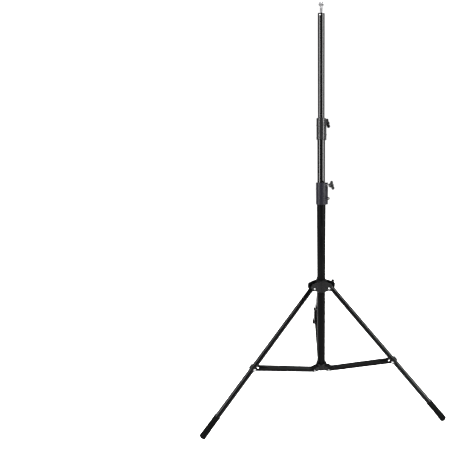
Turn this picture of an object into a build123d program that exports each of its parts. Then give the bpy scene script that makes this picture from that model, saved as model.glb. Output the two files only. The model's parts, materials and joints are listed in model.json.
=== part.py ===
"""Three-section light stand with a folding tripod base, in millimetres.

The origin is on the floor, on the column's axis, and +Z runs up the column.
One leg points along +Y and the others are 120 degrees either side of it.
Radius and height below mean distance from the column's axis and height above the floor.
"""

from dataclasses import dataclass
from math import acos, cos, degrees, radians, sin
import os

from build123d import *

# ---------------------------------------------------------------- driving dimensions

# column tubes: three sizes that telescope
BASE_RADIUS = 11.0
BASE_BORE = 10.0
BASE_BOTTOM = 41.0
BASE_TOP = 530.0
MID_RADIUS = 9.5
MID_BORE = 8.6
MID_BOTTOM = 147.0
MID_TOP = 680.0
TOP_RADIUS = 8.0
TOP_BORE = 7.0
TOP_BOTTOM = 345.0
TOP_END = 919.0
RUNNING_GAP = 0.06

# stopper inside the base tube's lower end
STOPPER_HEIGHT = 4.5
STOPPER_HOLE_RADIUS = 4.0
STOPPER_CHAMFER = 0.8

# split nylon guides at the feet of the two sliding tubes
GUIDE_LENGTH = 22.0
GUIDE_FLANGE = 2.0
GUIDE_WALL = 1.2
GUIDE_SLIT = 2.0

# spigot, its plug, and the 1/4 inch stud with its thumb nut
SPIGOT_RADIUS = 7.94
SPIGOT_LENGTH = 34.0
RELIEF_RADIUS = 7.65
RELIEF_LENGTH = 0.8
PLUG_DEPTH = 24.0
CAP_TOP = 920.6
CAP_CHAMFER = 0.7
STUD_RADIUS = 3.175
STUD_TOP = 940.9
STUD_DEPTH = 1.9
STUD_HOLE_DEPTH = 8.0
STUD_CHAMFER = 0.5
NUT_TOP = 941.6
NUT_HEIGHT = 4.2
NUT_RADIUS = 6.0
NUT_CHAMFER = 0.6
SPIGOT_RIVET_HEIGHT = 915.0
SPIGOT_RIVET_AZIMUTH = 248.0
SPIGOT_RIVET_RADIUS = 1.75
SPIGOT_RIVET_REACH = 7.6

# folding linkage, in the plane of one leg
LEG_AZIMUTHS = (90, 210, 330)
PIVOT_RADIUS = 27.5
HUB_PIN_HEIGHT = 46.0
BRACE_SPAN = 182.0
LEG_TO_JOINT = 230.0
LEG_TO_FOOT = 397.2
OPEN_ANGLE = 46.3
FOLDED_ANGLE = 2.7

# legs
LEG_RADIUS = 6.75
LEG_BORE = 5.85
LEG_HEAD = 7.0
LEG_CAP = 1.2
LEG_CAP_DEPTH = 9.0
SADDLE_LENGTH = 10.0
SADDLE_HALF_WIDTH = 7.55
SADDLE_BACK = 8.9
SADDLE_FRONT = 8.0
SADDLE_CORNER = 5.5
FOOT_RADIUS = 7.6
FOOT_LENGTH = 48.0
FOOT_LIP = 0.3
FOOT_LIP_LENGTH = 2.5
FOOT_SOLE = 6.0
FOOT_ROUNDING = 1.5

# braces, U channels that open downwards
BRACE_HALF_WIDTH = 8.95
BRACE_SHEET = 1.0
BRACE_BELOW = 3.0
BRACE_ABOVE = 3.8
BRACE_BEND = 0.8
WEB_START = 9.0
WEB_END_GAP = 10.6
NEST_GAP = 0.4
BRACE_LOBE = 4.4

# rivets
RIVET_RADIUS = 2.0
RIVET_HEAD_RADIUS = 2.8
RIVET_HEAD_HEIGHT = 1.2
RIVET_CHAMFER = 0.6
PIN_GAP = 0.05
WASHER_GAP = 0.15

# spreader hub, fixed at the column's foot
HUB_BOTTOM = 40.0
HUB_TOP = 57.0
HUB_RADIUS = 14.5
HUB_CHAMFER = 1.5
HUB_LUG_HALF_WIDTH = 7.75
HUB_LUG_RADIUS = 4.3
HUB_LUG_ROOT = 8.0
HUB_LUG_RISE = 6.5

# sliding yoke
YOKE_BOTTOM = 264.0
YOKE_TOP = 296.2
YOKE_RADIUS = 14.8
YOKE_TOP_CHAMFER = 2.2
YOKE_BOTTOM_CHAMFER = 1.0
YOKE_ARM_HALF_WIDTH = 11.0
YOKE_ARM_OUTLINE = (
    (0, 267.0),
    (19.0, 268.0),
    (24.5, 271.6),
    (32.0, 272.6),
    (34.6, 276.0),
    (35.4, 286.0),
    (33.0, 290.6),
    (15.0, 294.2),
    (0, 294.2),
)
YOKE_SLOT_HALF_WIDTH = 7.05
YOKE_SLOT_START = 15.6
YOKE_RIVET_RADIUS = 2.2
YOKE_BOSS_RADIUS = 7.0

# clamping knobs
KNOB_STUD_RADIUS = 3.0
KNOB_STUD_CHAMFER = 0.4
PAD_THICKNESS = 1.3
PAD_GAP = 0.05
WING_LENGTH = 24.0
WING_THICKNESS = 8.7
WING_ROUNDING = 0.9
GRIP_HEIGHT = 10.0
GRIP_HUB_RADIUS = 5.7
GRIP_HUB_HEIGHT = 8.6
GRIP_SOCKET = 7.0

# collars: moulded ribs, bosses and the screw that holds each one
COLLAR_ROUNDING = 0.9
COLLAR_LIP = 1.4
COLLAR_CLEARANCE = 0.45
RIB_PROUD = 0.5
RIB_HEIGHT = 1.6
LOWER_RIB = 4.0
UPPER_RIB = 17.0
KNOB_BOSS_RADIUS = 6.2
SCREW_BOSS_RADIUS = 5.4
SCREW_BOSS_TAPER = 16.0
SCREW_BOSS_ROOT = 1.0
SPINE_CORNER = 1.6
SCREW_RADIUS = 2.0
SCREW_TIP_GAP = 0.2
SCREW_HEAD_RADIUS = 3.3
SCREW_HEAD_HEIGHT = 2.6
SCREW_SOCKET_RADIUS = 1.7
SCREW_SOCKET_DEPTH = 1.5

# lengths that only have to be long enough: a cut through one part, and a boss's root inside a sleeve
THROUGH = 20.0
ROOT = 5.0


@dataclass
class Knob:
    """A clamping knob: where it is, how far out its boss and its grip start, and its wings' tilt."""

    azimuth: float
    height: float
    boss_face: float
    grip_start: float
    tilt: float


@dataclass
class Collar:
    """A clamp that is fixed on the tube below it and lets the next tube slide through."""

    name: str
    bottom: float
    top: float
    sleeve_radius: float
    clamped_radius: float
    clamped_top: float
    sliding_radius: float
    knob: Knob
    spine_face: float
    spine_half_width: float
    screw_tip: float
    screw_height: float
    screw_face: float


YOKE_KNOB = Knob(azimuth=30.0, height=278.0, boss_face=22.0, grip_start=29.5, tilt=70.0)
LOWER_COLLAR = Collar(
    name="lower",
    bottom=491.9,
    top=546.0,
    sleeve_radius=13.0,
    clamped_radius=BASE_RADIUS,
    clamped_top=BASE_TOP,
    sliding_radius=MID_RADIUS,
    knob=Knob(azimuth=-35.0, height=539.5, boss_face=17.0, grip_start=24.0, tilt=60.0),
    spine_face=15.5,
    spine_half_width=6.5,
    screw_tip=9.9,
    screw_height=507.4,
    screw_face=20.0,
)
UPPER_COLLAR = Collar(
    name="upper",
    bottom=647.0,
    top=696.5,
    sleeve_radius=11.5,
    clamped_radius=MID_RADIUS,
    clamped_top=MID_TOP,
    sliding_radius=TOP_RADIUS,
    knob=Knob(azimuth=45.0, height=688.5, boss_face=13.7, grip_start=18.0, tilt=110.0),
    spine_face=13.2,
    spine_half_width=5.5,
    screw_tip=8.5,
    screw_height=660.9,
    screw_face=15.0,
)

# ---------------------------------------------------------------- linkage worked out

JOINT_RADIUS = PIVOT_RADIUS + LEG_TO_JOINT * sin(radians(OPEN_ANGLE))
BRACE_ANGLE = degrees(acos((JOINT_RADIUS - PIVOT_RADIUS) / BRACE_SPAN))
FOLDED_REACH = LEG_TO_JOINT * sin(radians(FOLDED_ANGLE))
BRACE_FOLDED_ANGLE = degrees(acos(FOLDED_REACH / BRACE_SPAN))
JOINT_HEIGHT = HUB_PIN_HEIGHT + BRACE_SPAN * sin(radians(BRACE_ANGLE))
YOKE_PIN_HEIGHT = JOINT_HEIGHT + LEG_TO_JOINT * cos(radians(OPEN_ANGLE))
FOLDED_JOINT_HEIGHT = HUB_PIN_HEIGHT + BRACE_SPAN * sin(radians(BRACE_FOLDED_ANGLE))
FOLDED_PIN_HEIGHT = FOLDED_JOINT_HEIGHT + LEG_TO_JOINT * cos(radians(FOLDED_ANGLE))

os.makedirs("parts", exist_ok=True)


def save(part, name):
    """Label a finished piece and write its STEP file."""
    part.label = name
    export_step(part, f"parts/{name}.step")


# ---------------------------------------------------------------- planes


def outward(azimuth):
    return Vector(cos(radians(azimuth)), sin(radians(azimuth)), 0)


def sideways(azimuth):
    return Vector(sin(radians(azimuth)), -cos(radians(azimuth)), 0)


def leg_plane(azimuth):
    """The vertical plane of one leg: local x is radius and local y is height."""
    return Plane(origin=(0, 0, 0), x_dir=outward(azimuth), z_dir=sideways(azimuth))


def radial_plane(azimuth, radius, height):
    """A plane that faces away from the column: local x is sideways and local y is down."""
    out = outward(azimuth)
    return Plane(origin=out * radius + Vector(0, 0, height), x_dir=sideways(azimuth), z_dir=out)


def leg_axis_plane(azimuth):
    """A plane across the leg at its top pivot, facing the foot."""
    lean = radians(OPEN_ANGLE)
    pivot = outward(azimuth) * PIVOT_RADIUS + Vector(0, 0, YOKE_PIN_HEIGHT)
    down = outward(azimuth) * sin(lean) - Vector(0, 0, cos(lean))
    return Plane(origin=pivot, x_dir=sideways(azimuth), z_dir=down)


def brace_plane(azimuth):
    """The leg's plane turned to the brace: local x runs from the hub pin to the leg, local y is up."""
    rise = radians(BRACE_ANGLE)
    pin = outward(azimuth) * PIVOT_RADIUS + Vector(0, 0, HUB_PIN_HEIGHT)
    along = outward(azimuth) * cos(rise) + Vector(0, 0, sin(rise))
    return Plane(origin=pin, x_dir=along, z_dir=sideways(azimuth))


# ---------------------------------------------------------------- shapes used more than once


def tube(radius, bore, bottom, top):
    """An open round tube on the column's axis."""
    with BuildPart() as result:
        with BuildSketch(Plane.XY.offset(bottom)):
            Circle(radius)
            Circle(bore, mode=Mode.SUBTRACT)
        extrude(amount=top - bottom)
    return result.part


def outer_rims(part, plane, distance):
    """The round edges that lie this far from a plane, on either side of it."""
    return part.edges().filter_by(
        lambda edge: abs(abs(plane.to_local_coords(edge.center(CenterOf.MASS)).Z) - distance) < 0.01
    )


def rivet(plane, x, y, half_grip, shank):
    """A whole rivet across a plane, with a chamfered head at each end."""
    with BuildPart() as result:
        with BuildSketch(plane):
            with Locations((x, y)):
                Circle(shank)
        extrude(amount=half_grip, both=True)
        for side in (1, -1):
            with BuildSketch(plane.offset(side * half_grip)):
                with Locations((x, y)):
                    Circle(RIVET_HEAD_RADIUS)
            extrude(amount=side * RIVET_HEAD_HEIGHT)
        chamfer(outer_rims(result, plane, half_grip + RIVET_HEAD_HEIGHT), RIVET_CHAMFER)
    return result.part


def pressure_pad(knob, sliding_radius):
    """The pad between a knob's stud and the tube, hollowed to the tube's round."""
    with BuildPart() as pad:
        with BuildSketch(radial_plane(knob.azimuth, ROOT, knob.height)):
            Circle(KNOB_STUD_RADIUS)
        extrude(amount=sliding_radius + PAD_THICKNESS - ROOT)
        with BuildSketch(Plane.XY.offset(knob.height - THROUGH / 2)):
            Circle(sliding_radius + RUNNING_GAP)
        extrude(amount=THROUGH, mode=Mode.SUBTRACT)
    return pad.part


# ---------------------------------------------------------------- column tubes and what is inside them


def make_clamped_tube(name, radius, bore, bottom, collar):
    """A column tube with the hole for its collar's screw."""
    with BuildPart() as clamped_tube:
        add(tube(radius, bore, bottom, collar.clamped_top))
        with BuildSketch(radial_plane(collar.knob.azimuth, collar.screw_tip, collar.screw_height)):
            Circle(SCREW_RADIUS)
        extrude(amount=THROUGH, mode=Mode.SUBTRACT)
    save(clamped_tube.part, name)


def make_base_end_plug():
    """A moulded stopper inside the lower end of the base tube."""
    with BuildPart() as plug:
        with BuildSketch(Plane.XY.offset(BASE_BOTTOM)):
            Circle(BASE_BORE)
            Circle(STOPPER_HOLE_RADIUS, mode=Mode.SUBTRACT)
        extrude(amount=STOPPER_HEIGHT)
        chamfer(plug.faces().sort_by(Axis.Z)[-1].outer_wire().edges(), STOPPER_CHAMFER)
    save(plug.part, "base_end_plug")


def make_guide(name, radius, bore, bottom):
    """A split guide that is clipped inside the foot of a sliding tube, with its flange below."""
    inner = bore - GUIDE_WALL
    with BuildPart() as guide:
        add(tube(radius, inner, bottom - GUIDE_FLANGE, bottom))
        add(tube(bore, inner, bottom, bottom + GUIDE_LENGTH - GUIDE_FLANGE))
        with BuildSketch(Plane.XY.offset(bottom + GUIDE_FLANGE)):
            Rectangle(GUIDE_SLIT, 4 * radius)
        extrude(amount=GUIDE_LENGTH, mode=Mode.SUBTRACT)
    save(guide.part, name)


def make_top_tube():
    """The top tube, whose last stretch is sized to the 5/8 inch spigot, above a shallow relief."""
    shoulder = TOP_END - SPIGOT_LENGTH
    with BuildPart() as top_tube:
        add(tube(TOP_RADIUS, TOP_BORE, TOP_BOTTOM, shoulder - RELIEF_LENGTH))
        add(tube(RELIEF_RADIUS, TOP_BORE, shoulder - RELIEF_LENGTH, shoulder))
        add(tube(SPIGOT_RADIUS, TOP_BORE, shoulder, TOP_END))
        with BuildSketch(radial_plane(SPIGOT_RIVET_AZIMUTH, 0, SPIGOT_RIVET_HEIGHT)):
            Circle(SPIGOT_RIVET_RADIUS)
        extrude(amount=THROUGH, both=True, mode=Mode.SUBTRACT)
    save(top_tube.part, "top_tube")


def make_spigot():
    """The plug in the top tube's end with its cross rivet, the stud and the thumb nut."""
    with BuildPart() as plug:
        with BuildSketch(Plane.XY.offset(TOP_END - PLUG_DEPTH)):
            Circle(TOP_BORE)
        extrude(amount=PLUG_DEPTH)
        with BuildSketch(Plane.XY.offset(TOP_END)):
            Circle(SPIGOT_RADIUS)
        extrude(amount=CAP_TOP - TOP_END)
        chamfer(plug.faces().sort_by(Axis.Z)[-1].edges(), CAP_CHAMFER)
        with BuildSketch(Plane.XY.offset(TOP_END - STUD_HOLE_DEPTH)):
            Circle(STUD_RADIUS)
        extrude(amount=THROUGH, mode=Mode.SUBTRACT)
        with BuildSketch(radial_plane(SPIGOT_RIVET_AZIMUTH, 0, SPIGOT_RIVET_HEIGHT)):
            Circle(SPIGOT_RIVET_RADIUS)
        extrude(amount=THROUGH, both=True, mode=Mode.SUBTRACT)
    save(plug.part, "spigot_plug")

    with BuildPart() as cross_rivet:
        with BuildSketch(radial_plane(SPIGOT_RIVET_AZIMUTH, 0, SPIGOT_RIVET_HEIGHT)):
            Circle(SPIGOT_RIVET_RADIUS)
        extrude(amount=SPIGOT_RIVET_REACH, both=True)
    save(cross_rivet.part, "spigot_rivet")

    with BuildPart() as stud:
        with BuildSketch(Plane.XY.offset(TOP_END - STUD_DEPTH)):
            Circle(STUD_RADIUS)
        extrude(amount=STUD_TOP - TOP_END + STUD_DEPTH)
        chamfer(stud.faces().sort_by(Axis.Z)[-1].edges(), STUD_CHAMFER)
    save(stud.part, "spigot_stud")

    with BuildPart() as nut:
        add(tube(NUT_RADIUS, STUD_RADIUS + PIN_GAP, NUT_TOP - NUT_HEIGHT, NUT_TOP))
        rim = nut.edges().filter_by(GeomType.CIRCLE).filter_by(lambda edge: edge.radius > NUT_RADIUS - 0.1)
        chamfer(rim, NUT_CHAMFER)
    save(nut.part, "stud_nut")


# ---------------------------------------------------------------- collars


def make_collar(collar):
    """A moulded collar with a flat-faced spine, its bush, its pressure pad and its fixing screw."""
    knob = collar.knob
    bush_height = collar.top - collar.clamped_top - COLLAR_LIP
    boss_plane = radial_plane(knob.azimuth, ROOT, knob.height)
    screw_plane = radial_plane(knob.azimuth, ROOT, collar.screw_height)
    spine_plane = Plane(origin=(0, 0, collar.bottom), x_dir=outward(knob.azimuth), z_dir=(0, 0, 1))
    with BuildPart() as body:
        with BuildSketch(spine_plane) as outline:
            Circle(collar.sleeve_radius)
            Rectangle(collar.spine_face, 2 * collar.spine_half_width, align=(Align.MIN, Align.CENTER))
            corners = outline.vertices().sort_by(Axis(spine_plane.origin, spine_plane.x_dir))[-2:]
            fillet(corners, SPINE_CORNER)
        extrude(amount=collar.top - collar.bottom)
        ends = body.faces().sort_by(Axis.Z)
        fillet(ends[0].edges() + ends[-1].edges(), COLLAR_ROUNDING)
        with BuildSketch(boss_plane):
            Circle(KNOB_BOSS_RADIUS)
        extrude(amount=knob.boss_face - ROOT)
        boss_start = collar.spine_face - SCREW_BOSS_ROOT
        with BuildSketch(radial_plane(knob.azimuth, boss_start, collar.screw_height)):
            Circle(SCREW_BOSS_RADIUS)
        extrude(amount=collar.screw_face - boss_start, taper=SCREW_BOSS_TAPER)
        for rib in (collar.bottom + LOWER_RIB, collar.top - UPPER_RIB):
            add(tube(collar.sleeve_radius + RIB_PROUD, collar.clamped_radius, rib, rib + RIB_HEIGHT))
        with BuildSketch(Plane.XY.offset(collar.bottom)):
            Circle(collar.clamped_radius)
        extrude(amount=collar.clamped_top - collar.bottom + bush_height, mode=Mode.SUBTRACT)
        with BuildSketch(Plane.XY.offset(collar.bottom)):
            Circle(collar.sliding_radius + COLLAR_CLEARANCE)
        extrude(amount=collar.top - collar.bottom, mode=Mode.SUBTRACT)
        with BuildSketch(radial_plane(knob.azimuth, collar.sliding_radius, knob.height)):
            Circle(KNOB_STUD_RADIUS + PIN_GAP)
        extrude(amount=THROUGH, mode=Mode.SUBTRACT)
        with BuildSketch(screw_plane):
            Circle(SCREW_RADIUS)
        extrude(amount=THROUGH, mode=Mode.SUBTRACT)
    save(body.part, f"{collar.name}_collar")

    with BuildPart() as bush:
        add(
            tube(
                collar.clamped_radius,
                collar.sliding_radius + RUNNING_GAP,
                collar.clamped_top,
                collar.clamped_top + bush_height,
            )
        )
        with BuildSketch(boss_plane):
            Circle(KNOB_STUD_RADIUS + PIN_GAP)
        extrude(amount=THROUGH, mode=Mode.SUBTRACT)
    save(bush.part, f"{collar.name}_collar_bush")
    save(pressure_pad(knob, collar.sliding_radius), f"{collar.name}_pad")

    shank_start = collar.screw_tip + SCREW_TIP_GAP
    with BuildPart() as screw:
        with BuildSketch(radial_plane(knob.azimuth, shank_start, collar.screw_height)):
            Circle(SCREW_RADIUS)
        extrude(amount=collar.screw_face - shank_start)
        with BuildSketch(radial_plane(knob.azimuth, collar.screw_face, collar.screw_height)):
            Circle(SCREW_HEAD_RADIUS)
        extrude(amount=SCREW_HEAD_HEIGHT)
        circles = screw.edges().filter_by(GeomType.CIRCLE)
        fillet(circles.sort_by_distance((0, 0, collar.screw_height))[-1], COLLAR_ROUNDING)
        head_top = collar.screw_face + SCREW_HEAD_HEIGHT
        with BuildSketch(radial_plane(knob.azimuth, head_top, collar.screw_height)):
            RegularPolygon(radius=SCREW_SOCKET_RADIUS, side_count=6)
        extrude(amount=-SCREW_SOCKET_DEPTH, mode=Mode.SUBTRACT)
    save(screw.part, f"{collar.name}_collar_bolt")


# ---------------------------------------------------------------- clamping knobs


def wing_grip():
    """The grip's shape: wings along X, the stud's hole at the origin and the outer end up +Z."""
    half = WING_LENGTH / 2
    with BuildPart() as shape:
        with BuildSketch(Plane.XZ):
            with BuildLine():
                Polyline((0, 2.0), (GRIP_HUB_RADIUS, 2.6), (half - 3.0, 4.2))
                ThreePointArc((half - 3.0, 4.2), (half, 7.0), (half - 3.2, GRIP_HEIGHT - 0.6))
                Line((half - 3.2, GRIP_HEIGHT - 0.6), (0, GRIP_HEIGHT))
                mirror(about=Plane.YZ)
            make_face()
        extrude(amount=WING_THICKNESS / 2, both=True)
        fillet(outer_rims(shape, Plane.XZ, WING_THICKNESS / 2), WING_ROUNDING)
        with BuildSketch(Plane.XY):
            Circle(GRIP_HUB_RADIUS)
        extrude(amount=GRIP_HUB_HEIGHT)
        with BuildSketch(Plane.XY):
            Circle(KNOB_STUD_RADIUS)
        extrude(amount=GRIP_SOCKET, mode=Mode.SUBTRACT)
    return shape.part


def make_knob(name, knob, sliding_radius):
    """A wing grip moulded on a threaded stud that points at the column."""
    out = outward(knob.azimuth)
    centre = out * knob.grip_start + Vector(0, 0, knob.height)
    wing = sideways(knob.azimuth) * cos(radians(knob.tilt)) + Vector(0, 0, sin(radians(knob.tilt)))
    with BuildPart() as grip:
        with Locations(Plane(origin=centre, x_dir=wing, z_dir=out)):
            add(wing_grip())
    save(grip.part, f"{name}_grip")

    stud_start = sliding_radius + PAD_THICKNESS + PAD_GAP
    with BuildPart() as stud:
        with BuildSketch(radial_plane(knob.azimuth, stud_start, knob.height)):
            Circle(KNOB_STUD_RADIUS)
        extrude(amount=knob.grip_start + GRIP_SOCKET - stud_start)
        tip = stud.edges().filter_by(GeomType.CIRCLE).sort_by_distance((0, 0, knob.height))[0]
        chamfer(tip, KNOB_STUD_CHAMFER)
    save(stud.part, f"{name}_stud")


# ---------------------------------------------------------------- spreader hub at the column's foot


def make_hub():
    """The fixed hub: a sleeve with three lugs that the braces straddle."""
    root = PIVOT_RADIUS - HUB_LUG_ROOT
    with BuildPart() as hub:
        with BuildSketch(Plane.XY.offset(HUB_BOTTOM)):
            Circle(HUB_RADIUS)
        extrude(amount=HUB_TOP - HUB_BOTTOM)
        chamfer(hub.faces().sort_by(Axis.Z)[-1].edges(), HUB_CHAMFER)
        for azimuth in LEG_AZIMUTHS:
            with BuildSketch(leg_plane(azimuth)):
                with Locations((PIVOT_RADIUS, HUB_PIN_HEIGHT)):
                    Circle(HUB_LUG_RADIUS)
                Polygon(
                    (0, HUB_BOTTOM),
                    (root, HUB_BOTTOM),
                    (PIVOT_RADIUS, HUB_PIN_HEIGHT - HUB_LUG_RADIUS),
                    (PIVOT_RADIUS, HUB_PIN_HEIGHT + HUB_LUG_RADIUS),
                    (root, HUB_PIN_HEIGHT + HUB_LUG_RISE),
                    (0, HUB_PIN_HEIGHT + HUB_LUG_RISE),
                    align=None,
                )
            extrude(amount=HUB_LUG_HALF_WIDTH, both=True)
        with BuildSketch(Plane.XY.offset(HUB_BOTTOM)):
            Circle(BASE_RADIUS)
        extrude(amount=HUB_TOP - HUB_BOTTOM, mode=Mode.SUBTRACT)
        for azimuth in LEG_AZIMUTHS:
            with BuildSketch(leg_plane(azimuth)):
                with Locations((PIVOT_RADIUS, HUB_PIN_HEIGHT)):
                    Circle(RIVET_RADIUS)
            extrude(amount=THROUGH, both=True, mode=Mode.SUBTRACT)
    save(hub.part, "spreader_hub")


def make_hub_pins():
    """Three rivets, each through a hub lug and the cheeks of one brace."""
    half_grip = BRACE_HALF_WIDTH + WASHER_GAP
    with BuildPart() as pins:
        for azimuth in LEG_AZIMUTHS:
            add(rivet(leg_plane(azimuth), PIVOT_RADIUS, HUB_PIN_HEIGHT, half_grip, RIVET_RADIUS))
    save(pins.part, "hub_pins")


# ---------------------------------------------------------------- sliding yoke


def make_yoke():
    """The sliding yoke: a sleeve with three forks for the legs and a boss for the clamping knob."""
    fork = THROUGH + YOKE_ARM_OUTLINE[4][0]
    with BuildPart() as yoke:
        with BuildSketch(Plane.XY.offset(YOKE_BOTTOM)):
            Circle(YOKE_RADIUS)
        extrude(amount=YOKE_TOP - YOKE_BOTTOM)
        chamfer(yoke.faces().sort_by(Axis.Z)[-1].edges(), YOKE_TOP_CHAMFER)
        chamfer(yoke.faces().sort_by(Axis.Z)[0].edges(), YOKE_BOTTOM_CHAMFER)
        for azimuth in LEG_AZIMUTHS:
            with BuildSketch(leg_plane(azimuth)):
                Polygon(*YOKE_ARM_OUTLINE, align=None)
            extrude(amount=YOKE_ARM_HALF_WIDTH, both=True)
        with BuildSketch(radial_plane(YOKE_KNOB.azimuth, ROOT, YOKE_KNOB.height)):
            Circle(YOKE_BOSS_RADIUS)
        extrude(amount=YOKE_KNOB.boss_face - ROOT)
        for azimuth in LEG_AZIMUTHS:
            with BuildSketch(leg_plane(azimuth)):
                with Locations((YOKE_SLOT_START, YOKE_BOTTOM)):
                    Rectangle(fork, YOKE_TOP - YOKE_BOTTOM, align=Align.MIN)
            extrude(amount=YOKE_SLOT_HALF_WIDTH, both=True, mode=Mode.SUBTRACT)
            with BuildSketch(leg_plane(azimuth)):
                with Locations((PIVOT_RADIUS, YOKE_PIN_HEIGHT)):
                    Circle(YOKE_RIVET_RADIUS)
            extrude(amount=THROUGH, both=True, mode=Mode.SUBTRACT)
        with BuildSketch(Plane.XY.offset(YOKE_BOTTOM)):
            Circle(BASE_RADIUS + RUNNING_GAP)
        extrude(amount=YOKE_TOP - YOKE_BOTTOM, mode=Mode.SUBTRACT)
        with BuildSketch(radial_plane(YOKE_KNOB.azimuth, ROOT, YOKE_KNOB.height)):
            Circle(KNOB_STUD_RADIUS + PIN_GAP)
        extrude(amount=THROUGH, mode=Mode.SUBTRACT)
    save(yoke.part, "leg_yoke")


def make_yoke_rivets():
    """The yoke's leg rivets, as a headed stub in each cheek of the three forks."""
    with BuildPart() as rivets:
        for azimuth in LEG_AZIMUTHS:
            for side in (1, -1):
                plane = leg_plane(azimuth)
                with BuildSketch(plane.offset(side * YOKE_SLOT_HALF_WIDTH)):
                    with Locations((PIVOT_RADIUS, YOKE_PIN_HEIGHT)):
                        Circle(YOKE_RIVET_RADIUS)
                extrude(amount=side * (YOKE_ARM_HALF_WIDTH - YOKE_SLOT_HALF_WIDTH))
                with BuildSketch(plane.offset(side * YOKE_ARM_HALF_WIDTH)):
                    with Locations((PIVOT_RADIUS, YOKE_PIN_HEIGHT)):
                        Circle(RIVET_HEAD_RADIUS)
                extrude(amount=side * RIVET_HEAD_HEIGHT)
    save(rivets.part, "yoke_rivets")


# ---------------------------------------------------------------- legs and braces


def make_leg(number, azimuth):
    """One leg: its tube, the cap and pin at its head, the saddle at the brace and the rubber foot."""
    across = leg_axis_plane(azimuth)
    plane = leg_plane(azimuth)
    joint = (JOINT_RADIUS, JOINT_HEIGHT)
    pivot = (PIVOT_RADIUS, YOKE_PIN_HEIGHT)
    tube_length = LEG_HEAD + LEG_TO_FOOT - FOOT_SOLE
    with BuildPart() as leg_tube:
        with BuildSketch(across.offset(-LEG_HEAD)):
            Circle(LEG_RADIUS)
            Circle(LEG_BORE, mode=Mode.SUBTRACT)
        extrude(amount=tube_length)
        with BuildSketch(plane):
            with Locations(pivot):
                Circle(YOKE_RIVET_RADIUS)
            with Locations(joint):
                Circle(RIVET_RADIUS + PIN_GAP)
        extrude(amount=THROUGH, both=True, mode=Mode.SUBTRACT)
    save(leg_tube.part, f"leg_tube_{number}")

    with BuildPart() as leg_cap:
        with BuildSketch(across.offset(-LEG_HEAD - LEG_CAP)):
            Circle(LEG_RADIUS)
        extrude(amount=LEG_CAP)
        with BuildSketch(across.offset(-LEG_HEAD)):
            Circle(LEG_BORE)
        extrude(amount=LEG_HEAD + LEG_CAP_DEPTH)
        with BuildSketch(plane):
            with Locations(pivot):
                Circle(YOKE_RIVET_RADIUS)
        extrude(amount=THROUGH, both=True, mode=Mode.SUBTRACT)
    save(leg_cap.part, f"leg_cap_{number}")

    with BuildPart() as leg_pin:
        with BuildSketch(plane):
            with Locations(pivot):
                Circle(YOKE_RIVET_RADIUS)
        extrude(amount=LEG_RADIUS, both=True)
    save(leg_pin.part, f"leg_pin_{number}")

    with BuildPart() as saddle:
        with BuildSketch(across.offset(LEG_TO_JOINT - SADDLE_LENGTH / 2)):
            with Locations((0, (SADDLE_FRONT - SADDLE_BACK) / 2)):
                RectangleRounded(2 * SADDLE_HALF_WIDTH, SADDLE_FRONT + SADDLE_BACK, SADDLE_CORNER)
            Circle(LEG_RADIUS, mode=Mode.SUBTRACT)
        extrude(amount=SADDLE_LENGTH)
        with BuildSketch(plane):
            with Locations(joint):
                Circle(RIVET_RADIUS + PIN_GAP)
        extrude(amount=THROUGH, both=True, mode=Mode.SUBTRACT)
    save(saddle.part, f"leg_saddle_{number}")

    foot_plane = across.offset(LEG_TO_FOOT - FOOT_LENGTH)
    with BuildPart() as foot:
        with BuildSketch(foot_plane):
            Circle(FOOT_RADIUS)
        extrude(amount=FOOT_LENGTH)
        fillet(foot.edges().filter_by(GeomType.CIRCLE).sort_by(Axis.Z)[0], FOOT_ROUNDING)
        with BuildSketch(foot_plane):
            Circle(FOOT_RADIUS + FOOT_LIP)
        extrude(amount=FOOT_LIP_LENGTH)
        with BuildSketch(foot_plane):
            Circle(LEG_RADIUS)
        extrude(amount=FOOT_LENGTH - FOOT_SOLE, mode=Mode.SUBTRACT)
        split(bisect_by=Plane.XY, keep=Keep.TOP)
    save(foot.part, f"foot_{number}")


def nest_plane(plane):
    """A plane across the folded leg where it nests in the brace, facing the foot."""
    nest = radians(90 - BRACE_FOLDED_ANGLE + FOLDED_ANGLE)
    leg_joint = plane.origin + plane.x_dir * BRACE_SPAN
    direction = plane.x_dir * -cos(nest) - plane.y_dir * sin(nest)
    return Plane(origin=leg_joint, x_dir=plane.z_dir, z_dir=direction)


def nest_hump(plane):
    """The hump pressed into the web's outer end, round the folded leg; it runs out along the web."""
    with BuildPart() as hump:
        with BuildSketch(nest_plane(plane)):
            Circle(LEG_RADIUS + NEST_GAP + BRACE_SHEET)
        extrude(amount=BRACE_SPAN / 2)
        with BuildSketch(plane):
            with Locations((BRACE_SPAN - WEB_END_GAP, BRACE_ABOVE - BRACE_SHEET)):
                Rectangle(BRACE_SPAN, THROUGH, align=(Align.MAX, Align.MIN))
        extrude(amount=THROUGH, both=True, mode=Mode.INTERSECT)
    return hump.part


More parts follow.
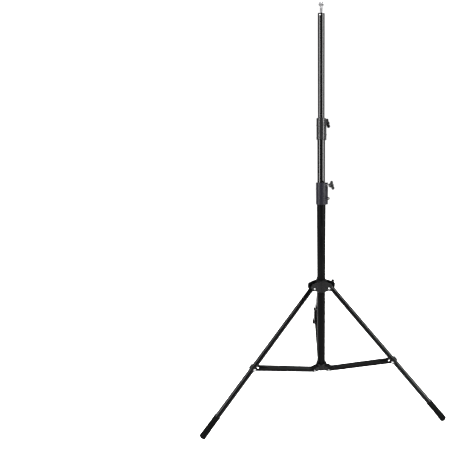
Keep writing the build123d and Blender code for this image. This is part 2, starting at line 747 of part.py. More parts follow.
def make_brace(number, azimuth):
    """One brace, a U channel with a hump pressed in it for the folded leg, and its rivet."""
    plane = brace_plane(azimuth)
    height = BRACE_BELOW + BRACE_ABOVE
    middle = (BRACE_ABOVE - BRACE_BELOW) / 2
    with BuildPart() as brace:
        with BuildSketch(plane):
            with Locations((BRACE_SPAN / 2, middle)):
                SlotCenterToCenter(BRACE_SPAN, height)
        extrude(amount=BRACE_HALF_WIDTH, both=True)
        bends = brace.edges().filter_by(lambda edge: edge.length > BRACE_SPAN * 0.9)
        upper = bends.filter_by(lambda edge: plane.to_local_coords(edge.center(CenterOf.MASS)).Y > middle)
        fillet(upper, BRACE_BEND)
        with BuildSketch(plane):
            Circle(BRACE_LOBE)
        extrude(amount=BRACE_HALF_WIDTH, both=True)
        add(nest_hump(plane))
        with BuildSketch(plane):
            with Locations((BRACE_SPAN / 2, BRACE_ABOVE - BRACE_SHEET)):
                Rectangle(BRACE_SPAN + 2 * THROUGH, THROUGH, align=(Align.CENTER, Align.MAX))
            with Locations((WEB_START, 0)):
                Rectangle(THROUGH, THROUGH, align=(Align.MAX, Align.CENTER))
            with Locations((BRACE_SPAN - WEB_END_GAP, 0)):
                Rectangle(THROUGH, THROUGH, align=(Align.MIN, Align.CENTER))
        extrude(amount=BRACE_HALF_WIDTH - BRACE_SHEET, both=True, mode=Mode.SUBTRACT)
        with BuildSketch(nest_plane(plane)):
            Circle(LEG_RADIUS + NEST_GAP)
        extrude(amount=BRACE_SPAN / 2, mode=Mode.SUBTRACT)
        with BuildSketch(plane):
            Circle(RIVET_RADIUS + PIN_GAP)
            with Locations((BRACE_SPAN, 0)):
                Circle(RIVET_RADIUS)
        extrude(amount=THROUGH, both=True, mode=Mode.SUBTRACT)
    save(brace.part, f"brace_{number}")
    save(rivet(plane, BRACE_SPAN, 0, BRACE_HALF_WIDTH, RIVET_RADIUS), f"brace_rivet_{number}")


# ---------------------------------------------------------------- the whole stand

make_clamped_tube("base_tube", BASE_RADIUS, BASE_BORE, BASE_BOTTOM, LOWER_COLLAR)
make_base_end_plug()
make_hub()
make_hub_pins()
make_collar(LOWER_COLLAR)
make_knob("lower_knob", LOWER_COLLAR.knob, MID_RADIUS)

make_clamped_tube("mid_tube", MID_RADIUS, MID_BORE, MID_BOTTOM, UPPER_COLLAR)
make_guide("mid_guide", BASE_BORE - RUNNING_GAP, MID_BORE, MID_BOTTOM)
make_collar(UPPER_COLLAR)
make_knob("upper_knob", UPPER_COLLAR.knob, TOP_RADIUS)

make_top_tube()
make_guide("top_guide", MID_BORE - RUNNING_GAP, TOP_BORE, TOP_BOTTOM)
make_spigot()

make_yoke()
make_yoke_rivets()
save(pressure_pad(YOKE_KNOB, BASE_RADIUS), "yoke_pad")
make_knob("yoke_knob", YOKE_KNOB, BASE_RADIUS)

for leg_number, leg_azimuth in enumerate(LEG_AZIMUTHS, start=1):
    make_leg(leg_number, leg_azimuth)
    make_brace(leg_number, leg_azimuth)

print("brace angle open", round(BRACE_ANGLE, 3), "folded", round(BRACE_FOLDED_ANGLE, 3))
print("yoke pin height", round(YOKE_PIN_HEIGHT, 3), "travel", round(FOLDED_PIN_HEIGHT - YOKE_PIN_HEIGHT, 3))
print("joint radius and height", round(JOINT_RADIUS, 3), round(JOINT_HEIGHT, 3))
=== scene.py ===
"""Looks of the three-section light stand: materials, fine pieces, floor, light and camera, in metres."""

import json
from math import atan2, cos, pi, radians, sin, sqrt

import bmesh
import bpy
from mathutils import Matrix, Vector


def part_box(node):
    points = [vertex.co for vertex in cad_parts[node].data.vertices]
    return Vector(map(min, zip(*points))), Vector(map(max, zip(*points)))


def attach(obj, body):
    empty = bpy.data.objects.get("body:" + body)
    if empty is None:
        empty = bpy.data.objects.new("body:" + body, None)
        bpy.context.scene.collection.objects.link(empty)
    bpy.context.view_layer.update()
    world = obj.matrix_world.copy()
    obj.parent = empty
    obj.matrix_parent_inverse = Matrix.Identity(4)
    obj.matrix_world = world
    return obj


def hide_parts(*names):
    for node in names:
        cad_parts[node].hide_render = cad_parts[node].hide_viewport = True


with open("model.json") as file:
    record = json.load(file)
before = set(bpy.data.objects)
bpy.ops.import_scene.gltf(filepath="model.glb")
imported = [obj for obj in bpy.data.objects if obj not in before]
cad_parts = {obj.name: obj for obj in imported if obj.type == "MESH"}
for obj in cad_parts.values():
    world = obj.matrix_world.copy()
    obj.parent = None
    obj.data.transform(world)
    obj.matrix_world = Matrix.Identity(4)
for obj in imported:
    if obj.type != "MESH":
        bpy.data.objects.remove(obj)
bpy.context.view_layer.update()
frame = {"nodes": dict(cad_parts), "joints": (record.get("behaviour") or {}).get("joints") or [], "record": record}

MM = 0.001
UP = Vector((0, 0, 1))
LEGS = (1, 2, 3)
JOINTS = {joint["name"]: joint for joint in frame["joints"]}

# ---------------------------------------------------------------- mesh helpers


def axis_frame(origin, axis, side=None):
    """A matrix whose local Z runs along axis from origin, and whose local X is near side."""
    z = Vector(axis).normalized()
    x = Vector(side) if side else z.orthogonal()
    x = (x - x.dot(z) * z).normalized()
    turn = Matrix((x, z.cross(x), z)).transposed().to_4x4()
    return Matrix.Translation(origin) @ turn


def mesh_piece(name, vertices, faces, material, body, smooth_angle):
    """A new mesh that rides on a body, smooth except at edges sharper than the angle."""
    mesh = bpy.data.meshes.new(name)
    mesh.from_pydata([tuple(v) for v in vertices], [], faces)
    mesh.validate()
    finish_mesh(mesh, smooth_angle)
    piece = bpy.data.objects.new(name, mesh)
    bpy.context.scene.collection.objects.link(piece)
    piece.data.materials.append(material)
    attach(piece, body)
    return piece


def finish_mesh(mesh, smooth_angle):
    """Consistent outward normals and smooth shading."""
    work = bmesh.new()
    work.from_mesh(mesh)
    bmesh.ops.remove_doubles(work, verts=work.verts, dist=1e-7)
    bmesh.ops.recalc_face_normals(work, faces=work.faces)
    work.to_mesh(mesh)
    work.free()
    mesh.shade_smooth()
    mesh.set_sharp_from_angle(angle=radians(smooth_angle))


def rings_to_faces(rings, count):
    """Quads between successive rings of count vertices each, with both ends closed by a fan."""
    faces = []
    for ring in range(rings - 1):
        for k in range(count):
            a, b = ring * count + k, ring * count + (k + 1) % count
            faces.append((a, b, b + count, a + count))
    faces.append(tuple(range(count))[::-1])
    faces.append(tuple(range((rings - 1) * count, rings * count)))
    return faces


def lathe_shape(profile, place, segments=48):
    """Vertices and faces of a closed solid of revolution: profile is (radius, height) from base to top."""
    vertices = []
    for radius, height in profile:
        for k in range(segments):
            turn = 2 * pi * k / segments
            vertices.append(place @ Vector((radius * cos(turn), radius * sin(turn), height)))
    return vertices, rings_to_faces(len(profile), segments)


def joined(shapes):
    """Several (vertices, faces) shapes as one."""
    vertices, faces = [], []
    for more_vertices, more_faces in shapes:
        start = len(vertices)
        vertices += more_vertices
        faces += [tuple(start + i for i in face) for face in more_faces]
    return vertices, faces


def dome(radius, height, base, steps=6):
    """The profile of a low dome, from its rim at base to a point near the axis."""
    turns = [pi / 2 * k / steps for k in range(steps + 1)]
    return [(radius * (0.02 + 0.98 * cos(turn)), base + height * sin(turn)) for turn in turns]


def threaded_rod(place, length, major, minor, pitch, end_taper, segments=28, rings_per_pitch=8):
    """A rod with a helical V thread from base to tip, tapered in at both ends."""
    count = int(length / pitch * rings_per_pitch)
    vertices = []
    for ring in range(count + 1):
        height = length * ring / count
        from_end = min(height, length - height)
        limit = minor + (major - minor) * min(1.0, from_end / end_taper)
        for k in range(segments):
            share = k / segments
            phase = (height / pitch - share) % 1.0
            ridge = 1 - abs(2 * phase - 1)
            radius = min(limit, minor + (major - minor) * min(1.0, ridge * 1.25))
            turn = 2 * pi * share
            vertices.append(place @ Vector((radius * cos(turn), radius * sin(turn), height)))
    return vertices, rings_to_faces(count + 1, segments)


def remeshed(name, shapes, voxel, smoothing):
    """Several overlapping closed shapes blended into one skin."""
    vertices, faces = joined(shapes)
    mesh = bpy.data.meshes.new(name + "_rough")
    mesh.from_pydata([tuple(v) for v in vertices], [], faces)
    rough = bpy.data.objects.new(name + "_rough", mesh)
    bpy.context.scene.collection.objects.link(rough)
    grid = rough.modifiers.new("grid", "REMESH")
    grid.mode = "VOXEL"
    grid.voxel_size = voxel
    soft = rough.modifiers.new("soft", "SMOOTH")
    soft.factor = 0.5
    soft.iterations = smoothing
    ready = rough.evaluated_get(bpy.context.evaluated_depsgraph_get())
    result = bpy.data.meshes.new_from_object(ready)
    points = [v.co.copy() for v in result.vertices]
    polygons = [tuple(polygon.vertices) for polygon in result.polygons]
    bpy.data.meshes.remove(result)
    bpy.data.objects.remove(rough)
    bpy.data.meshes.remove(mesh)
    return points, polygons


# ---------------------------------------------------------------- material helpers


MATERIALS = {}


class Nodes:
    """A material's node tree with short ways to add and join nodes, listed in MATERIALS under its slot."""

    def __init__(self, name):
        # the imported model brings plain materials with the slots' own names
        self.material = bpy.data.materials.new(name + "_finish")
        MATERIALS[name] = self.material
        self.material.use_nodes = True
        self.tree = self.material.node_tree
        self.shader = self.tree.nodes["Principled BSDF"]
        coordinates = self.tree.nodes.new("ShaderNodeTexCoord")
        self.place = coordinates.outputs["Object"]

    def set(self, **values):
        """Constant values straight on the shader's sockets."""
        for key, value in values.items():
            self.shader.inputs[key.replace("_", " ")].default_value = value

    def link(self, output, node, socket):
        """Join an output to a node's input, given by name or number."""
        self.tree.links.new(output, node.inputs[socket])

    def noise(self, scale, stretch=(1, 1, 1), detail=3.0, roughness=0.55):
        """Noise whose scale is in repeats per metre, times the stretch along each axis."""
        mapping = self.tree.nodes.new("ShaderNodeMapping")
        mapping.inputs["Scale"].default_value = stretch
        self.link(self.place, mapping, "Vector")
        node = self.tree.nodes.new("ShaderNodeTexNoise")
        node.inputs["Scale"].default_value = scale
        node.inputs["Detail"].default_value = detail
        node.inputs["Roughness"].default_value = roughness
        self.link(mapping.outputs["Vector"], node, "Vector")
        return node.outputs["Fac"]

    def spots(self, scale):
        """Rounded cells whose distance rises from each centre."""
        node = self.tree.nodes.new("ShaderNodeTexVoronoi")
        node.inputs["Scale"].default_value = scale
        self.link(self.place, node, "Vector")
        return node.outputs["Distance"]

    def remap(self, value, low, high, to_low, to_high):
        """The value's range low to high, spread over to_low to to_high and held at its ends."""
        node = self.tree.nodes.new("ShaderNodeMapRange")
        limits = {"From Min": low, "From Max": high, "To Min": to_low, "To Max": to_high}
        for socket, number in limits.items():
            node.inputs[socket].default_value = number
        self.link(value, node, "Value")
        return node.outputs["Result"]

    def mix(self, share, first, second):
        """A colour between two, by a share from 0 to 1. Each may be a colour or a socket."""
        node = self.tree.nodes.new("ShaderNodeMix")
        node.data_type = "RGBA"
        self.link(share, node, "Factor")
        for index, colour in ((6, first), (7, second)):
            if isinstance(colour, tuple):
                node.inputs[index].default_value = (*colour, 1)
            else:
                self.tree.links.new(colour, node.inputs[index])
        return node.outputs[2]

    def bump(self, heights):
        """Bumps on top of each other: each is (height socket, depth in metres)."""
        normal = None
        for height, depth in heights:
            node = self.tree.nodes.new("ShaderNodeBump")
            node.inputs["Distance"].default_value = depth
            self.link(height, node, "Height")
            if normal:
                self.link(normal, node, "Normal")
            normal = node.outputs["Normal"]
        self.link(normal, self.shader, "Normal")

    def edges(self, radius, low, high):
        """1 along convex and concave edges within radius, 0 on flat faces."""
        bevel = self.tree.nodes.new("ShaderNodeBevel")
        bevel.samples = 4
        bevel.inputs["Radius"].default_value = radius
        geometry = self.tree.nodes.new("ShaderNodeNewGeometry")
        dot = self.tree.nodes.new("ShaderNodeVectorMath")
        dot.operation = "DOT_PRODUCT"
        self.link(bevel.outputs["Normal"], dot, 0)
        self.link(geometry.outputs["Normal"], dot, 1)
        return self.remap(dot.outputs["Value"], high, low, 0.0, 1.0)


# ---------------------------------------------------------------- materials


def anodised_tube(name, colour, worn, roughness, level, bump_depth):
    """Black anodised aluminium: fine drawn lines along the tube, faint rub marks and soft blotches."""
    n = Nodes(name)
    drawn = n.noise(90, (30, 30, 0.5), 4)
    rubbed = n.noise(60, (1, 1, 0.25), 5, 0.7)
    n.link(n.mix(n.remap(rubbed, 0.5, 0.8, 0.0, 1.0), colour, worn), n.shader, "Base Color")
    n.link(n.remap(rubbed, 0.3, 0.7, roughness * 0.85, roughness * 1.25), n.shader, "Roughness")
    n.bump([(drawn, bump_depth)])
    n.set(Metallic=0.0, Specular_IOR_Level=level)


def moulded(name, colour, light, roughness, level, grain):
    """Moulded plastic: a fine spark-eroded grain, slow colour variation and edges rubbed lighter."""
    n = Nodes(name)
    cloud = n.noise(45, detail=4)
    fine = n.noise(1600, detail=2)
    edge = n.edges(0.0006, 0.90, 0.995)
    body = n.mix(n.remap(cloud, 0.35, 0.65, 0.0, 1.0), colour, tuple(c * 1.25 for c in colour))
    n.link(n.mix(edge, body, light), n.shader, "Base Color")
    n.link(n.remap(fine, 0.3, 0.7, roughness - 0.06, roughness + 0.08), n.shader, "Roughness")
    n.bump([(fine, grain), (cloud, grain * 2)])
    n.set(Specular_IOR_Level=level)


def painted(name, colour, bare, level):
    """Satin stove paint on steel, with a light orange peel and its edges rubbed."""
    n = Nodes(name)
    peel = n.noise(700, detail=2)
    cloud = n.noise(50, detail=4)
    chips = n.remap(n.noise(420, detail=5, roughness=0.7), 0.52, 0.62, 0.0, 1.0)
    edge = n.edges(0.0004, 0.86, 0.99)
    both = n.tree.nodes.new("ShaderNodeMath")
    both.operation = "MULTIPLY"
    n.link(edge, both, 0)
    n.link(chips, both, 1)
    body = n.mix(n.remap(cloud, 0.35, 0.65, 0.0, 1.0), colour, tuple(c * 1.3 for c in colour))
    n.link(n.mix(both.outputs["Value"], body, bare), n.shader, "Base Color")
    n.link(n.remap(cloud, 0.3, 0.7, 0.36, 0.5), n.shader, "Roughness")
    n.bump([(peel, 0.00002)])
    n.set(Specular_IOR_Level=level)


def rubber(name, colour):
    """Matt rubber with a dusty bloom and a pebbled surface."""
    n = Nodes(name)
    bloom = n.noise(70, detail=5, roughness=0.7)
    pebble = n.spots(1500)
    dusty = tuple(c * 2.2 for c in colour)
    n.link(n.mix(n.remap(bloom, 0.5, 0.75, 0.0, 1.0), colour, dusty), n.shader, "Base Color")
    n.link(n.remap(bloom, 0.3, 0.7, 0.62, 0.8), n.shader, "Roughness")
    n.bump([(pebble, 0.00003)])
    n.set(Specular_IOR_Level=0.02)


def plated(name, colour, dull, roughness):
    """Plated or bare metal with hairline scratches and faint tarnish."""
    n = Nodes(name)
    scratch = n.noise(500, detail=4)
    tarnish = n.noise(180, detail=4)
    n.link(n.mix(n.remap(tarnish, 0.45, 0.75, 0.0, 1.0), colour, dull), n.shader, "Base Color")
    n.link(n.remap(tarnish, 0.3, 0.7, roughness * 0.8, roughness * 1.5), n.shader, "Roughness")
    n.bump([(scratch, 0.000006)])
    n.set(Metallic=1.0)


RUBBED = (0.0013, 0.0013, 0.0013)

# slot, colour, rubbed colour, roughness, specular level, depth of the drawn lines in metres
anodised_tube("gloss_tube", (0.0001, 0.0001, 0.00011), RUBBED, 0.05, 0.085, 0.0000004)
anodised_tube("satin_tube", (0.00025, 0.00025, 0.0003), RUBBED, 0.40, 0.015, 0.000003)
anodised_tube("leg_tube", (0.00005, 0.00005, 0.00005), RUBBED, 0.05, 0.045, 0.0000004)

# slot, colour, colour of rubbed edges, roughness, specular level, depth of the grain in metres
moulded("lower_moulding", (0.0016, 0.00155, 0.0026), (0.0055, 0.0055, 0.007), 0.34, 0.055, 0.000012)
moulded("upper_moulding", (0.0019, 0.0019, 0.0020), (0.007, 0.007, 0.007), 0.26, 0.065, 0.00001)
moulded("moulded_black", (0.0007, 0.0007, 0.0008), (0.004, 0.004, 0.004), 0.36, 0.045, 0.000018)
moulded("plug_black", (0.0004, 0.0004, 0.0004), (0.0025, 0.0025, 0.0025), 0.4, 0.04, 0.000015)
moulded("nylon", (0.0009, 0.0009, 0.0010), (0.003, 0.003, 0.003), 0.5, 0.05, 0.00001)
moulded("grip_black", (0.0003, 0.0003, 0.0003), (0.003, 0.003, 0.003), 0.20, 0.07, 0.00002)
moulded("saddle_black", (0.0004, 0.0004, 0.0004), (0.0025, 0.0025, 0.0025), 0.42, 0.04, 0.000015)

# slot, colour, bare metal at chipped edges, specular level
painted("brace_paint", (0.0005, 0.0005, 0.0005), (0.02, 0.019, 0.018), 0.014)

# slot, colour
rubber("foot_rubber", (0.00012, 0.00012, 0.00012))

# slot, colour, tarnished colour, roughness
plated("bright_rivet", (0.15, 0.15, 0.15), (0.10, 0.10, 0.10), 0.25)
plated("zinc_thread", (0.14, 0.14, 0.145), (0.10, 0.10, 0.10), 0.42)
plated("black_screw", (0.020, 0.020, 0.021), (0.045, 0.043, 0.040), 0.38)
plated("chrome_stud", (0.105, 0.105, 0.108), (0.085, 0.085, 0.085), 0.50)
plated("brass_pad", (0.35, 0.26, 0.10), (0.22, 0.16, 0.07), 0.35)

# how far the edges of the CAD nodes in a slot are rounded, in mm
ROUNDING = {
    "lower_moulding": 0.35,
    "upper_moulding": 0.35,
    "moulded_black": 0.6,
    "saddle_black": 0.5,
    "plug_black": 0.25,
    "brace_paint": 0.2,
    "black_screw": 0.12,
    "gloss_tube": 0.15,
    "satin_tube": 0.15,
    "leg_tube": 0.15,
}

# edges that turn by more degrees than this stay sharp in shading and are rounded by a bevel
SHARP_EDGE = 35


def dress_cad_nodes():
    """Each CAD node takes the material of its record slot, and the slots in ROUNDING get rounded edges."""
    for row in frame["record"]["subparts"]:
        node, slot = frame["nodes"][row["node"]], row["material_slot"]
        node.data.materials.clear()
        node.data.materials.append(MATERIALS[slot])
        if slot in ROUNDING:
            weld = node.modifiers.new("weld", "WELD")
            weld.merge_threshold = 1e-6
            bevel = node.modifiers.new("bevel", "BEVEL")
            bevel.width = ROUNDING[slot] * MM
            bevel.segments = 3
            bevel.limit_method = "ANGLE"
            bevel.angle_limit = radians(SHARP_EDGE)
            bevel.use_clamp_overlap = True
            bevel.harden_normals = False
            node.modifiers.new("normals", "WEIGHTED_NORMAL").keep_sharp = True


# ---------------------------------------------------------------- fine pieces that stand for plain CAD nodes

# lengths in mm, measured along a rivet from the middle of its joint and along a leg from its pivot
# a thread is its outer radius, its root radius, its pitch and the taper at its ends
STUD_THREAD = (3.175, 2.5, 1.27, 0.6)
NUT_BORE = 3.25
NUT_TOOTH_COUNT = 40
NUT_TOOTH_DEPTH = 0.32
NUT_CHAMFER = 0.8
NUT_SHOULDER = 1.1
KNOB_THREAD = (3.0, 2.45, 1.0, 0.5)
KNOB_THREAD_IN_GRIP = 7.0
KNOB_VOXEL = 0.32
RIVET_SHANK = 2.0
RIVET_HEAD = 2.8
RIVET_RISE = 1.2
RIVET_RIM = 0.25
HUB_GRIP = 9.1
BRACE_GRIP = 8.95
YOKE_STUB_START = 7.05
YOKE_STUB_END = 11.0
YOKE_SHANK = 2.2
SPIGOT_RIVET_GRIP = 7.15
SPIGOT_RIVET_SHANK = 1.68
SPIGOT_RIVET_HEAD = 1.72
SPIGOT_RIVET_RISE = 0.4
FOOT_END = 397.2
FOOT_LENGTH = 48.0
FOOT_OUTER = 7.55
FOOT_BORE = 6.8
FOOT_SOLE = 6.0
FOOT_LIP = 0.3
FOOT_ROUNDING = 1.5
RIB_PITCH = 3.4
RIB_DEPTH = 0.35

# degrees from +X towards +Y
SPIGOT_RIVET_AZIMUTH = 248.0


def in_metres(sizes):
    """Sizes in mm as metres."""
    return [size * MM for size in sizes]


def stand_for(name, shape, node, smooth_angle=SHARP_EDGE):
    """A detailed piece in a CAD node's place, on its body and with its material."""
    slot = SLOTS[node]
    piece = mesh_piece(name, *shape, MATERIALS[slot], BODY_OF[node], smooth_angle)
    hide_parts(node)


def make_stud_and_nut():
    """The spigot's 1/4-20 stud and its knurled thumb nut."""
    low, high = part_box("spigot_stud")
    place = Matrix.Translation((0, 0, low.z))
    rod = threaded_rod(place, high.z - low.z, *in_metres(STUD_THREAD))
    stand_for("stud_threaded", rod, "spigot_stud", 30)

    low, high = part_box("stud_nut")
    outer, height = high.x, high.z - low.z
    inner, shoulder, chamfer = in_metres((NUT_BORE, NUT_SHOULDER, NUT_CHAMFER))
    steps = 4
    segments = NUT_TOOTH_COUNT * steps
    # radius, height, and 1 where the knurl cuts the ring
    profile = [
        (inner, 0.0, 0), (outer - shoulder, 0.0, 0), (outer - 0.5 * MM, 0.25 * MM, 0),
        (outer, chamfer, 1), (outer, height - chamfer, 1),
        (outer - 0.5 * MM, height - 0.25 * MM, 0), (outer - shoulder, height, 0), (inner, height, 0),
    ]
    vertices = []
    for radius, z, knurled in profile:
        for k in range(segments):
            turn = 2 * pi * k / segments
            notch = NUT_TOOTH_DEPTH * MM * abs(k % steps - steps / 2) / (steps / 2) * knurled
            vertices.append((cos(turn) * (radius - notch), sin(turn) * (radius - notch), low.z + z))
    faces = []
    rings = len(profile)
    for ring in range(rings):
        for k in range(segments):
            a, b = ring * segments + k, ring * segments + (k + 1) % segments
            up = (ring + 1) % rings * segments - ring * segments
            faces.append((a, b, b + up, a + up))
    stand_for("thumb_nut_knurled", (vertices, faces), "stud_nut", 25)


def wing_loft(place, half_length=11.9, segments=28, stations=41):
    """The two rounded lobes of a wing grip and the bar between them, in mm along local X.

    u runs from tip to tip, lobe is 0 at the hub and 1 in a lobe, and close draws the section in at the tips.
    """
    vertices = []
    for station in range(stations):
        u = -1 + 2 * station / (stations - 1)
        past_lobe = max(0.0, (abs(u) - 0.70) / 0.30)
        close = max(0.03, sqrt(max(0.0, 1 - past_lobe * past_lobe)))
        lobe = 0.5 - 0.5 * cos(pi * min(1.0, abs(u) / 0.72))
        centre = 5.3 + 1.6 * lobe
        half_height = (2.75 + 0.35 * lobe) * close
        half_width = (3.3 + 0.95 * lobe) * close
        for k in range(segments):
            turn = 2 * pi * k / segments
            c, s = cos(turn), sin(turn)
            y = half_width * abs(c) ** 0.8 * (1 if c > 0 else -1)
            z = centre + half_height * abs(s) ** 0.8 * (1 if s > 0 else -1)
            vertices.append(place @ Vector((half_length * u, y, z)))
    return vertices, rings_to_faces(stations, segments)


def make_knob(name, start, tilt):
    """A moulded wing grip with a dished hub, on a threaded stud; start is the grip's inner end, in mm."""
    joint = JOINTS[name + "_turn"]
    out = Vector(joint["axis"])
    height = joint["pos_m"][2]
    across = Vector((out.y, -out.x, 0))
    wing = across * cos(radians(tilt)) + UP * sin(radians(tilt))
    place = axis_frame(out * start * MM + UP * height, out, wing)
    in_mm = place @ Matrix.Scale(MM, 4)
    hub = [(0.2, 0.1), (4.9, 0.1), (5.5, 0.8), (5.6, 6.2), (5.0, 8.2), (4.2, 8.6), (3.2, 8.3), (0.2, 7.9)]
    collar = [(0.2, 6.0), (5.0, 6.0), (5.0, 7.0), (0.2, 7.0)]
    shapes = [lathe_shape(profile, in_mm, 40) for profile in (hub, collar)]
    grip = remeshed(name, [wing_loft(in_mm), *shapes], KNOB_VOXEL * MM, 5)
    stand_for(name + "_wings", grip, name + "_grip", 60)

    low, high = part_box(name + "_stud")
    middle = (low + high) / 2
    reach = (start + KNOB_THREAD_IN_GRIP) * MM
    inner = 2 * Vector((middle.x, middle.y, 0)).dot(out) - reach
    rod_place = axis_frame(out * inner + UP * height, out)
    rod = threaded_rod(rod_place, reach - inner, *in_metres(KNOB_THREAD))
    stand_for(name + "_thread", rod, name + "_stud", 30)


def rivet_end(end, shank, head, rise):
    """The profile of a rivet's outer end: the shank's end, the head's rim and its dome."""
    crown = dome(head, rise - RIVET_RIM, end + RIVET_RIM)
    return [(shank, end), (head, end), *crown]


def rivet_shape(centre, axis, half_grip, shank=RIVET_SHANK, head=RIVET_HEAD, rise=RIVET_RISE):
    """A rivet through a joint: shank, and a domed head with a straight rim at each end."""
    place = axis_frame(centre, axis) @ Matrix.Scale(MM, 4)
    top = rivet_end(half_grip, shank, head, rise)
    bottom = [(radius, -height) for radius, height in reversed(top)]
    return lathe_shape(bottom + top, place, 28)


def yoke_stub(centre, axis):
    """Half a rivet of the yoke: a stub beside the leg's pin, with a domed head outside the cheek."""
    place = axis_frame(centre, axis) @ Matrix.Scale(MM, 4)
    end = rivet_end(YOKE_STUB_END, YOKE_SHANK, RIVET_HEAD, RIVET_RISE)
    return lathe_shape([(YOKE_SHANK, YOKE_STUB_START), *end], place, 28)


def make_rivets():
    """Domed heads on every rivet of the tripod and on the spigot's cross rivet."""
    hub, yoke = [], []
    for i in LEGS:
        pin, joint = JOINTS[f"brace_{i}_hinge"], JOINTS[f"leg_{i}_hinge"]
        hub.append(rivet_shape(Vector(pin["pos_m"]), pin["axis"], HUB_GRIP))
        link = rivet_shape(Vector(joint["pos_m"]), joint["axis"], BRACE_GRIP)
        stand_for(f"brace_rivet_domed_{i}", link, f"brace_rivet_{i}")
        low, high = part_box(f"leg_pin_{i}")
        for side in (1, -1):
            yoke.append(yoke_stub((low + high) / 2, Vector(pin["axis"]) * side))
    stand_for("hub_rivets_domed", joined(hub), "hub_pins")
    stand_for("yoke_rivets_domed", joined(yoke), "yoke_rivets")

    low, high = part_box("spigot_rivet")
    azimuth = radians(SPIGOT_RIVET_AZIMUTH)
    axis = Vector((cos(azimuth), sin(azimuth), 0))
    sizes = SPIGOT_RIVET_GRIP, SPIGOT_RIVET_SHANK, SPIGOT_RIVET_HEAD, SPIGOT_RIVET_RISE
    stand_for("spigot_rivet_domed", rivet_shape((low + high) / 2, axis, *sizes), "spigot_rivet")


def foot_profile():
    """The foot in section: inside of the sleeve, lip at its mouth, ribs, rounded toe and sole."""
    start = FOOT_END - FOOT_LENGTH
    outer, ribbed = FOOT_OUTER, FOOT_OUTER - RIB_DEPTH
    profile = [(0.1, FOOT_END - FOOT_SOLE), (FOOT_BORE, FOOT_END - FOOT_SOLE), (FOOT_BORE, start)]
    profile += [(outer + FOOT_LIP / 2, start), (outer + FOOT_LIP, start + 0.5)]
    profile += [(outer + FOOT_LIP, start + 2.2), (outer - 0.1, start + 2.8)]
    rib = start + 6.0
    while rib < FOOT_END - 7.0:
        profile += [(outer, rib), (outer, rib + 1.9), (ribbed, rib + 2.2), (ribbed, rib + RIB_PITCH - 0.3)]
        rib += RIB_PITCH
    profile.append((outer, rib))
    steps = 6
    for k in range(steps + 1):
        turn = pi / 2 * k / steps
        radius = outer - FOOT_ROUNDING + FOOT_ROUNDING * cos(turn)
        profile.append((radius, FOOT_END - FOOT_ROUNDING + FOOT_ROUNDING * sin(turn)))
    profile.append((0.1, FOOT_END))
    return profile


def cut_at_floor(vertices, faces):
    """The part of a closed shape above the floor, closed again by a flat sole."""
    work = bmesh.new()
    made = [work.verts.new(v) for v in vertices]
    for face in faces:
        work.faces.new([made[k] for k in face])
    cut = bmesh.ops.bisect_plane(
        work, geom=work.verts[:] + work.edges[:] + work.faces[:],
        plane_co=(0, 0, 0), plane_no=(0, 0, 1), clear_inner=True,
    )
    rim = [item for item in cut["geom_cut"] if isinstance(item, bmesh.types.BMEdge)]
    bmesh.ops.contextual_create(work, geom=rim)
    work.verts.index_update()
    shape = [v.co.copy() for v in work.verts], [tuple(v.index for v in f.verts) for f in work.faces]
    work.free()
    return shape


def make_feet():
    """A ribbed rubber foot on each leg, cut flat where it stands on the floor."""
    for i in LEGS:
        low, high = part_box(f"leg_pin_{i}")
        pivot = (low + high) / 2
        down = (Vector(JOINTS[f"leg_{i}_hinge"]["pos_m"]) - pivot).normalized()
        place = axis_frame(pivot, down) @ Matrix.Scale(MM, 4)
        shape = cut_at_floor(*lathe_shape(foot_profile(), place, 56))
        stand_for(f"foot_ribbed_{i}", shape, f"foot_{i}", 30)


SLOTS = {row["node"]: row["material_slot"] for row in frame["record"]["subparts"]}
BODY_OF = {n: body for body, names in frame["record"]["behaviour"]["bodies"].items() for n in names}

dress_cad_nodes()
make_stud_and_nut()
make_knob("lower_knob", 24.0, 60.0)
make_knob("upper_knob", 18.0, 110.0)
make_knob("yoke_knob", 29.5, 70.0)
make_rivets()
make_feet()

# ---------------------------------------------------------------- stage, light and camera

CAMERA_PITCH = 9.82
CAMERA_PLACE = Vector((-0.0614, -0.7094, 0.5629))
LENS = 22.874
SENSOR = 36.0
SHIFT = -0.2138
STRIP_DISTANCE = 1.5
STRIP_BOTTOM = 0.42
STRIP_TOP = 1.9
FLOOR_REACH = 40
WORLD_STRENGTH = 1.1


def make_camera():
    """The camera that took the photograph's view: it turns towards the column and looks slightly down."""
    data = bpy.data.cameras.new("camera")
    data.lens = LENS
    data.sensor_width = SENSOR
    data.shift_x = SHIFT
    data.clip_start = 0.01
    camera = bpy.data.objects.new("camera", data)
    camera.location = CAMERA_PLACE
    heading = -atan2(-CAMERA_PLACE.x, -CAMERA_PLACE.y)
    camera.rotation_euler = (radians(90 - CAMERA_PITCH), 0, heading)
    bpy.context.scene.collection.objects.link(camera)
    bpy.context.scene.camera = camera


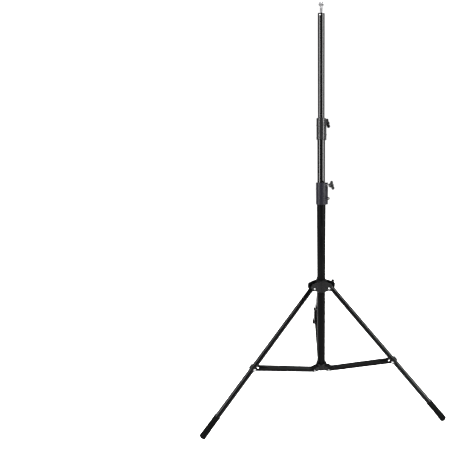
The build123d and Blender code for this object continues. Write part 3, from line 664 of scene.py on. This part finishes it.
def strip_light(name, bearing, width, power):
    """A tall softbox that faces the column, bearing degrees round it to the right of the camera."""
    to_camera = atan2(CAMERA_PLACE.y, CAMERA_PLACE.x)
    azimuth = to_camera + radians(bearing)
    data = bpy.data.lights.new(name, "AREA")
    data.shape = "RECTANGLE"
    data.size = width
    data.size_y = STRIP_TOP - STRIP_BOTTOM
    data.energy = power
    light = bpy.data.objects.new(name, data)
    middle = (STRIP_BOTTOM + STRIP_TOP) / 2
    light.location = (STRIP_DISTANCE * cos(azimuth), STRIP_DISTANCE * sin(azimuth), middle)
    towards = Vector((-light.location.x, -light.location.y, 0))
    light.rotation_euler = towards.to_track_quat("-Z", "Y").to_euler()
    bpy.context.scene.collection.objects.link(light)


def top_light(size, height, power):
    """A square softbox above the column, facing down."""
    data = bpy.data.lights.new("top_softbox", "AREA")
    data.shape = "SQUARE"
    data.size = size
    data.energy = power
    light = bpy.data.objects.new("top_softbox", data)
    light.location = (0, 0, height)
    bpy.context.scene.collection.objects.link(light)


def make_floor():
    """A large pale floor with a fine plaster texture."""
    reach = FLOOR_REACH
    n = Nodes("floor_pale")
    grain = n.noise(30, detail=4)
    n.link(n.mix(grain, (0.96, 0.96, 0.96), (0.975, 0.975, 0.975)), n.shader, "Base Color")
    n.set(Roughness=0.9, Specular_IOR_Level=0.1)
    mesh = bpy.data.meshes.new("floor")
    corners = [(-reach, -reach, 0), (reach, -reach, 0), (reach, reach, 0), (-reach, reach, 0)]
    mesh.from_pydata(corners, [], [(0, 1, 2, 3)])
    floor = bpy.data.objects.new("floor", mesh)
    floor.data.materials.append(n.material)
    bpy.context.scene.collection.objects.link(floor)


def make_world():
    """Even white light from all round, and plain colours without a film look."""
    world = bpy.data.worlds.new("studio")
    world.use_nodes = True
    background = world.node_tree.nodes["Background"]
    background.inputs["Color"].default_value = (1, 1, 1, 1)
    background.inputs["Strength"].default_value = WORLD_STRENGTH
    bpy.context.scene.world = world
    bpy.context.scene.view_settings.view_transform = "Standard"


make_camera()
make_floor()
make_world()
strip_light("left_softbox", bearing=-53, width=0.26, power=160)
strip_light("right_softbox", bearing=59, width=0.30, power=200)
top_light(size=0.6, height=2.4, power=12)
